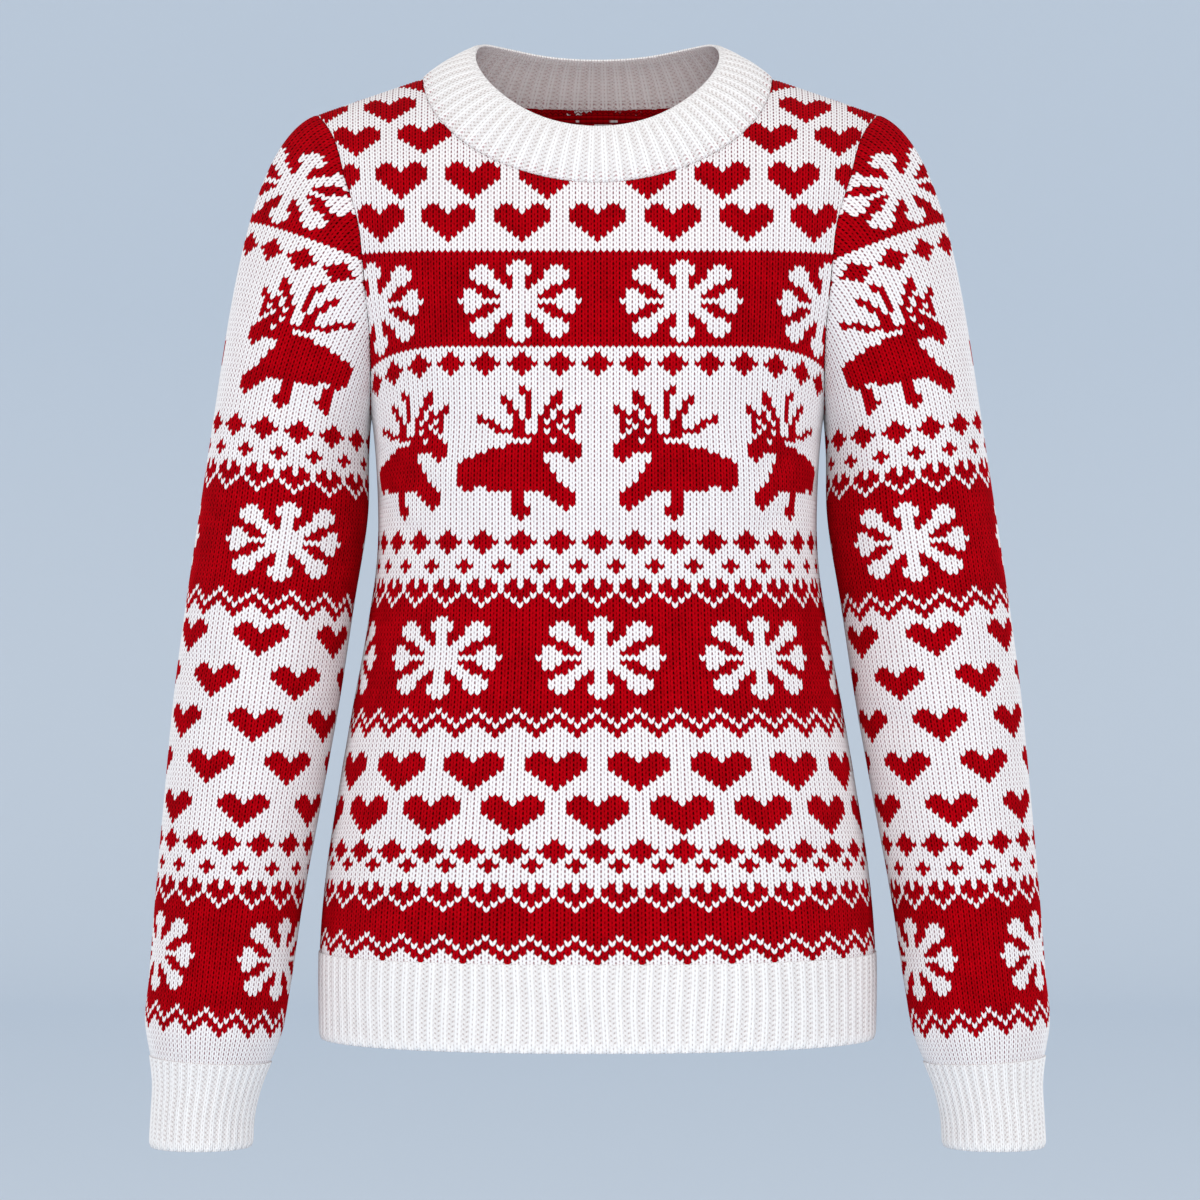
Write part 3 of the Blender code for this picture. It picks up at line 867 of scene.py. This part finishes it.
def neckband_lattice():
    low = neck_line(lambda side: neckline(side, 400))
    high = neck_line(neck_rim)
    off_front, off_back = (panel_normal(side, low[:, 0], low[:, 2]) for side in (FRONT, BACK))
    at_seam = np.where(low[:, 1:2] < 0, off_front, off_back)
    low = low + SEAM * unit(high - low)
    share = np.linspace(0, 1, 40)[:, None, None]
    lines = low + share * (high - low)
    lines = lines + NECKBAND_BULGE * 4 * share * (1 - share) * round_normals(lines)
    turned = np.clip(share / NECKBAND_TURN, 0, 1)
    normals = unit(turned * round_normals(lines) + (1 - turned) * at_seam)
    return rib_lattice(lines, normals, FRONT.neck_ribs + BACK.neck_ribs, True, free_end_up=True)


# -------- meshes

RIM_IN_MAP = 0.0015  # width of the edges in the flat map, in metres
GAP_IN_MAP = 0.0130  # between the outer and the inner face there
SHARP_DEGREES = 70


def make_piece(name, lattice, mirrored=False):
    """A thin shell: the outer face stitch by stitch, a plainer inner face and the edges between them.

    A corner of a face is a place, numbered column by column. Places that fall together share a vertex.
    """
    columns, rows = lattice.inside.shape
    kept = corners_of(lattice.inside, lattice.closed).any(axis=0)
    spans = len(kept)
    corners = corners_of(np.arange(columns * rows).reshape(columns, rows), lattice.closed)[:, kept].T
    used = np.unique(corners)
    outer = lattice.outer.reshape(-1, 3)
    _, first, group = np.unique(np.round(outer[used], 7), axis=0, return_index=True, return_inverse=True)
    vertex = np.full(columns * rows, -1)
    vertex[used] = group.ravel()
    chosen = used[first]
    inner_from = len(chosen)
    points = np.concatenate([outer[chosen], lattice.inner.reshape(-1, 3)[chosen]])

    knit = lattice.knit.reshape(-1, 2)
    flat = lattice.flat.reshape(-1, 2)
    faces, slots, knit_at, flat_at = [], [], [], []
    beside = 2 * flat[used, 0].max() + GAP_IN_MAP
    knit_round, flat_round = columns_round(lattice)

    def add(place_numbers, inward, slot, span):
        """One face from lattice places, less those that fall together."""
        ids = [vertex[p] for p in place_numbers]
        keep = [i for i in range(len(ids)) if ids[i] != ids[i - 1]]
        if len(keep) < 3:
            return
        ids = [int(ids[i]) + (inner_from if inward else 0) for i in keep]
        places = [place_numbers[i] for i in keep]
        knit_here, flat_here = knit[places], flat[places]
        if lattice.closed and span == spans - 1:  # its far side is the first column again
            again = np.array(places)[:, None] < rows
            knit_here = knit_here + knit_round * again
            flat_here = flat_here + flat_round * again
        if inward:
            flat_here = (beside, 0) + flat_here * (-1, 1)
            ids, knit_here, flat_here = ids[::-1], knit_here[::-1], flat_here[::-1]
        faces.append(ids)
        slots.append(slot)
        knit_at.append(knit_here)
        flat_at.append(flat_here)

    for (span, row), place_numbers in zip(np.argwhere(kept).tolist(), corners.tolist()):
        add(place_numbers, False, int(lattice.yarn[span, row]), span)
    outer_faces = len(faces)

    quads = lattice.quads
    whole = corners_of(lattice.inside, lattice.closed).all(axis=0).reshape(-1, quads, rows - 1).all(axis=1)
    for stitch, whole_rows in enumerate(whole):
        start = stitch * quads
        across = [(start + i) % columns for i in range(quads + 1)]
        ends = [across[0], across[-1]]
        for row in range(rows - 1):
            slot = 2 + int(lattice.yarn[start, row])
            if whole_rows[row]:
                low = ends if row > 0 and whole_rows[row - 1] else across
                high = ends if row < rows - 2 and whole_rows[row + 1] else across
                ring = [c * rows + row for c in low] + [c * rows + row + 1 for c in reversed(high)]
                add(ring, True, slot, start + quads - 1)
                continue
            for i in range(quads):
                if kept[start + i, row]:
                    a, b = across[i] * rows + row, across[i + 1] * rows + row
                    add([a, b, b + 1, a + 1], True, slot, start + i)

    add_rim(faces, slots, knit_at, flat_at, outer_faces, inner_from)
    if mirrored:
        points = points * [-1, 1, 1]
        faces, knit_at, flat_at = ([each[::-1] for each in several] for several in (faces, knit_at, flat_at))
    return mesh_object(name, points, faces, slots, knit_at, flat_at)


def add_rim(faces, slots, knit_at, flat_at, outer_faces, inner_from):
    """Faces from the free sides of the outer face to those of the inner one."""
    sides = {}
    for f, ids in enumerate(faces[:outer_faces]):
        for i, a in enumerate(ids):
            sides[(a, ids[(i + 1) % len(ids)])] = (f, i)
    for (a, b), (f, i) in sides.items():
        if (b, a) in sides:
            continue
        after = (i + 1) % len(faces[f])
        start, end = flat_at[f][i], flat_at[f][after]
        along = end - start
        out = np.array([along[1], -along[0]]) / max(np.hypot(*along), 1e-9) * RIM_IN_MAP
        faces.append([b, a, a + inner_from, b + inner_from])
        slots.append(slots[f])
        knit_at.append([knit_at[f][after], knit_at[f][i], knit_at[f][i], knit_at[f][after]])
        flat_at.append([end, start, start + out, end + out])


def add_object(name, data):
    made = bpy.data.objects.new(name, data)
    bpy.context.scene.collection.objects.link(made)
    return made


def mesh_object(name, points, faces, slots, knit_at, flat_at):
    mesh = bpy.data.meshes.new(name)
    mesh.from_pydata(points.tolist(), [], faces)
    for map_name, values in (("OFBake", flat_at), ("knit", knit_at)):
        placed = np.concatenate(values)
        if map_name == "OFBake":
            low = placed.min(axis=0)
            placed = (placed - low) / (placed.max(axis=0) - low).max() * 0.99 + 0.005
        mesh.uv_layers.new(name=map_name).data.foreach_set("uv", placed.ravel())
    mesh.polygons.foreach_set("material_index", slots)
    mesh.polygons.foreach_set("use_smooth", [True] * len(faces))
    mesh.update()
    mesh.set_sharp_from_angle(angle=math.radians(SHARP_DEGREES))
    return add_object(name, mesh)


def columns_round(lattice):
    """What once round a tube adds to a place, in the knit and in the flat map."""
    stitches = len(lattice.knit) // lattice.quads
    per_stitch = 1 if lattice.quads == QUADS else 2
    way = math.copysign(1, lattice.knit[1, 0, 0] - lattice.knit[0, 0, 0])
    flat_width = lattice.flat[lattice.quads, 0, 0] - lattice.flat[0, 0, 0]
    return np.array([stitches * per_stitch * way, 0.0]), np.array([flat_width * stitches, 0.0])


# -------- yarns


class Nodes:
    """Short ways to make and join shader nodes."""

    def __init__(self, name):
        self.material = bpy.data.materials.new(name)
        self.material.use_nodes = True
        self.tree = self.material.node_tree
        self.shader = self.tree.nodes["Principled BSDF"]

    def add(self, kind, given=(), **settings):
        """A new node. What it is given goes to its inputs, by their name or number."""
        node = self.tree.nodes.new(kind)
        for name, value in settings.items():
            setattr(node, name, value)
        for socket, value in dict(given).items():
            self.put(node.inputs[socket], value)
        return node

    def put(self, socket, value):
        if isinstance(value, bpy.types.NodeSocket):
            self.tree.links.new(value, socket)
        else:
            socket.default_value = value

    def shade(self, **values):
        for name, value in values.items():
            self.put(self.shader.inputs[name.replace("_", " ")], value)

    def do(self, operation, *values):
        return self.add("ShaderNodeMath", enumerate(values), operation=operation).outputs[0]

    plus = partialmethod(do, "ADD")
    minus = partialmethod(do, "SUBTRACT")
    times = partialmethod(do, "MULTIPLY")

    def ramp(self, value, start, end, low=0.0, high=1.0):
        given = enumerate((value, start, end, low, high))
        return self.add("ShaderNodeMapRange", given, interpolation_type="SMOOTHSTEP").outputs[0]

    def mix(self, factor, first, second):
        given = {"Factor": factor, 6: first, 7: second}
        return self.add("ShaderNodeMix", given, data_type="RGBA").outputs[2]

    def noise(self, scale, detail=2.0, vector=None):
        if vector is None:
            vector = self.add("ShaderNodeTexCoord").outputs["Object"]
        given = {"Vector": vector, "Scale": scale, "Detail": detail}
        return self.add("ShaderNodeTexNoise", given).outputs["Fac"]

    def knit_place(self):
        """Column and row as running numbers, a stitch and a row being 1."""
        place = self.add("ShaderNodeUVMap", uv_map="knit").outputs[0]
        return self.add("ShaderNodeSeparateXYZ", {0: place}).outputs[:2]

    def from_middle(self, value, times):
        """0 in the middle of each repeat and 1 at its ends."""
        there = self.do("FRACT", self.times(value, times))
        return self.times(self.do("ABSOLUTE", self.minus(there, 0.5)), 2.0)


# The second colour of each yarn is painted shade, which the gaps and holes between its stitches darken to.
Yarn = namedtuple("Yarn", "colour gap_colour shine unevenness")
PLAIN = (1.0, 1.0, 1.0, 1)
RED_YARN = Yarn((0.515, 0.0004, 0.0055, 1), (0.028, 0.0001, 0.0003, 1), (1.0, 0.01, 0.03, 1), 0.46)
WHITE_YARN = Yarn((0.930, 0.915, 0.915, 1), (0.250, 0.095, 0.115, 1), PLAIN, 0.12)
RIB_YARN = Yarn((0.935, 0.925, 0.920, 1), (0.420, 0.340, 0.320, 1), PLAIN, 0.12)
# The inside of a rib is the same white yarn, given a pinker colour and pinker gaps: painted light, with
# painted reflected red light.
INSIDE_RIB_PAINTED_LIGHT = Yarn((0.965, 0.915, 0.910, 1), (0.600, 0.440, 0.430, 1), PLAIN, 0.12)
# Painted shade, dark red, in the holes of the linking.
LINKING_HOLE_SHADE = (0.300, 0.030, 0.045, 1)
FIBRES = (1500.0, 3.0)  # scale and detail of the noise for the yarn's fibres
STITCH_NOISE = 420.0  # scale of the shades from stitch to stitch, and from patch to patch
PATCH_NOISE = 70.0
BUMP_DEPTH = 0.0006


def outside(name, yarn, ribbed=False, linked_row=None):
    """The right side: painted shade in dark dashes between the stitches and small dots within them, half a
    row apart.

    A band that is linked on shows the holes of the linking, painted dark as shade, in its last two rows.
    """
    nodes = Nodes(name)
    column_there, row_there = nodes.knit_place()
    to_middle = nodes.from_middle(column_there, 1.0)  # 1 in the middle of a stitch
    to_edge = nodes.minus(1.0, to_middle)
    along = nodes.from_middle(row_there, 1.0)
    # Painted shade: dashes in the gaps between the wales, dots in the holes where the legs of a stitch meet.
    dashes = nodes.times(nodes.ramp(to_edge, 0.66, 0.92), nodes.ramp(along, 0.25, 0.60))
    dots = nodes.times(nodes.ramp(to_middle, 0.72, 0.95), nodes.ramp(along, 0.35, 0.85))
    from_leg = nodes.from_middle(column_there, 2.0)  # 1 between two legs
    # Painted shade in the dip between the two legs of a stitch.
    between = nodes.ramp(from_leg, 0.55, 1.0)
    fibres = nodes.noise(*FIBRES)
    dark = nodes.times(dots, 0.50)
    # In a rib, painted shade fills the recessed purl furrows, darker still around the purl bumps.
    if ribbed:
        furrow = nodes.ramp(nodes.from_middle(column_there, 0.5), 0.50, 0.72)  # 0 on a wale
        furrow = nodes.times(furrow, nodes.ramp(row_there, 0.9, 2.2))
        half_rows = nodes.times(nodes.do("FLOOR", column_there), 0.5)
        bumps = nodes.ramp(nodes.from_middle(nodes.plus(row_there, half_rows), 1.0), 0.40, 0.90)
        bumps = nodes.times(bumps, nodes.ramp(from_leg, 0.1, 0.8, 0.72, 0.05))
        purled = nodes.times(furrow, nodes.plus(bumps, 0.12))
        dashes = nodes.times(dashes, 0.25)
        dark = nodes.plus(nodes.times(dark, nodes.minus(1.0, furrow)), purled)
    dark = nodes.plus(dark, dashes)
    dark = nodes.plus(dark, nodes.times(between, 0.12))
    # The yarn's own uneven tone, from fibre, stitch and patch, darkens it too, on top of the painted shade.
    for noise, share in ((fibres, 0.4), (nodes.noise(STITCH_NOISE), 0.35), (nodes.noise(PATCH_NOISE), 0.35)):
        dark = nodes.plus(dark, nodes.ramp(noise, 0.3, 0.7, share * yarn.unevenness, 0.0))
    # Mixed towards the yarn's painted shade colour.
    colour = nodes.mix(nodes.do("MINIMUM", dark, 1.0), yarn.colour, yarn.gap_colour)
    # Painted shade in the holes of the linking, in the last two rows.
    if linked_row:
        linking = nodes.ramp(row_there, linked_row - 2.1, linked_row - 1.9, 0.0, 0.60)
        holes = nodes.times(nodes.ramp(to_edge, 0.55, 0.90), nodes.ramp(along, 0.40, 0.80))
        colour = nodes.mix(nodes.times(holes, linking), colour, LINKING_HOLE_SHADE)
    leg = nodes.minus(1.0, nodes.do("POWER", from_leg, 2.0))
    loop = nodes.minus(1.0, nodes.do("POWER", along, 4.0))
    height = nodes.plus(nodes.times(leg, 0.6), nodes.times(loop, 0.3))
    finish(nodes, colour, nodes.plus(height, nodes.times(fibres, 0.35)), yarn)
    return nodes.material


def wrong_side(name, floats_from):
    """The inside: red purled loops in rows, with painted shade at their edges, and short white strands along
    them where the noise is high.
    """
    nodes = Nodes(name)
    column_there, row_there = nodes.knit_place()
    along = nodes.from_middle(row_there, 1.0)
    across = nodes.from_middle(column_there, 1.0)
    place = {0: nodes.times(column_there, 0.22), 1: nodes.times(nodes.do("FLOOR", row_there), 1.7)}
    strands = nodes.noise(1.0, vector=nodes.add("ShaderNodeCombineXYZ", place).outputs[0])
    floats = nodes.ramp(strands, floats_from, floats_from + 0.02)
    floats = nodes.times(floats, nodes.ramp(along, 0.3, 0.8, 1.0, 0.0))
    # Painted shade at the edges of each loop, between the rows and between the columns.
    dark = nodes.plus(nodes.ramp(along, 0.4, 1.0, 0.0, 0.6), nodes.ramp(across, 0.6, 1.0, 0.0, 0.25))
    colour = nodes.mix(dark, nodes.mix(floats, RED_YARN.colour, WHITE_YARN.colour), RED_YARN.gap_colour)
    height = nodes.minus(1.0, nodes.do("POWER", along, 2.0))
    finish(nodes, colour, nodes.plus(height, nodes.times(nodes.noise(*FIBRES), 0.25)), RED_YARN)
    return nodes.material


def finish(nodes, colour, height, yarn):
    bump = nodes.add("ShaderNodeBump", {"Height": height, "Distance": BUMP_DEPTH, "Strength": 0.8})
    nodes.shade(Base_Color=colour, Normal=bump.outputs[0], Roughness=0.90)
    nodes.shade(Specular_IOR_Level=0.10, Specular_Tint=yarn.shine)
    nodes.shade(Sheen_Weight=0.06, Sheen_Tint=yarn.shine, Sheen_Roughness=0.5)


# -------- the sweater

Cloth = namedtuple("Cloth", "slot yarns")  # outside where red, where white, then inside of each
JACQUARD = Cloth(
    "jacquard_knit",
    (
        outside("red_yarn", RED_YARN),
        outside("white_yarn", WHITE_YARN),
        wrong_side("inside_of_red", 0.60),
        wrong_side("inside_of_white", 0.56),
    ),
)


def ribbed_cloth(name, linked_row=None):
    outer = outside(name + "_yarn", RIB_YARN, ribbed=True, linked_row=linked_row)
    inner = outside(name + "_inside", INSIDE_RIB_PAINTED_LIGHT, ribbed=True, linked_row=linked_row)
    return Cloth("white_rib", (outer, outer, inner, inner))


def piece(node, lattice, cloth, mirrored=False):
    made = make_piece(node + "_knit", lattice, mirrored)
    for yarn in cloth.yarns:
        made.data.materials.append(yarn)
    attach(made, "root")
    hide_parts(node)


piece("front_panel", panel_lattice(FRONT), JACQUARD)
piece("back_panel", panel_lattice(BACK), JACQUARD)
sleeve = sleeve_lattice()
piece("sleeve_left", sleeve, JACQUARD)
piece("sleeve_right", sleeve, JACQUARD, mirrored=True)
neckband = neckband_lattice()
last_row = float(neckband.knit[neckband.inside][:, 1].max())
piece("neckband", neckband, ribbed_cloth("white_neckband", last_row))
rib = ribbed_cloth("white_rib")
piece("hem_band_front", hem_lattice(FRONT), rib)
piece("hem_band_back", hem_lattice(BACK), rib)
cuff = cuff_lattice()
piece("cuff_left", cuff, rib)
piece("cuff_right", cuff, rib, mirrored=True)

# -------- stage, light and camera

FLOOR_COLOUR = (0.676, 0.762, 0.858, 1)
WORLD_COLOUR = (0.99, 0.99, 1.0, 1)
WORLD_STRENGTH = 0.77
FRAME_WIDTH = 0.756  # seen across the picture, at the sweater
IMAGE_PIXELS = 1200
SHIFT_PIXELS = (2.5, -50)


def backdrop():
    """A plain floor that turns up into a plain wall, far enough back to leave room behind the sweater."""
    floor, front_edge, wall, wall_top, radius, half_width = -1.05, -7.0, 6.5, 6.0, 1.2, 9.0
    profile = [(front_edge, floor)]
    for turn in np.linspace(0, math.pi / 2, 24):
        profile.append((wall - radius + radius * math.sin(turn), floor + radius * (1 - math.cos(turn))))
    profile.append((wall, wall_top))
    points = [(x, y, z) for y, z in profile for x in (-half_width, half_width)]
    faces = [(2 * k, 2 * k + 1, 2 * k + 3, 2 * k + 2) for k in range(len(profile) - 1)]
    mesh = bpy.data.meshes.new("floor")
    mesh.from_pydata(points, [], faces)
    mesh.polygons.foreach_set("use_smooth", [True] * len(faces))
    nodes = Nodes("floor")
    nodes.shade(Base_Color=FLOOR_COLOUR, Roughness=1.0, Specular_IOR_Level=0.0)
    mesh.materials.append(nodes.material)
    add_object("floor", mesh)


def area_light(name, place, size, power):
    light = bpy.data.lights.new(name, "AREA")
    light.shape = "DISK"
    light.size = size
    light.energy = power
    made = add_object(name, light)
    made.location = place
    aim = mathutils.Vector((0, 0, EYE_HEIGHT)) - made.location
    made.rotation_euler = aim.to_track_quat("-Z", "Y").to_euler()


backdrop()
area_light("key", (-2.6, -2.0, 1.0), 1.6, 27)
area_light("fill", (2.8, -1.9, 0.4), 1.8, 23)
area_light("front", (0.1, -3.6, -0.45), 1.2, 28)
world = bpy.data.worlds.new("soft_light")
bpy.context.scene.world = world
world.use_nodes = True
background = world.node_tree.nodes["Background"]
background.inputs["Color"].default_value = WORLD_COLOUR
background.inputs["Strength"].default_value = WORLD_STRENGTH

camera = bpy.data.cameras.new("camera")
camera.sensor_width = 36
camera.angle = 2 * math.atan(FRAME_WIDTH / 2 / EYE_DISTANCE)
camera.shift_x, camera.shift_y = (pixels / IMAGE_PIXELS for pixels in SHIFT_PIXELS)
seen = add_object("camera", camera)
seen.location = (0, -EYE_DISTANCE, EYE_HEIGHT)
seen.rotation_euler = (math.pi / 2, 0, 0)
bpy.context.scene.camera = seen
bpy.context.scene.view_settings.view_transform = "Standard"
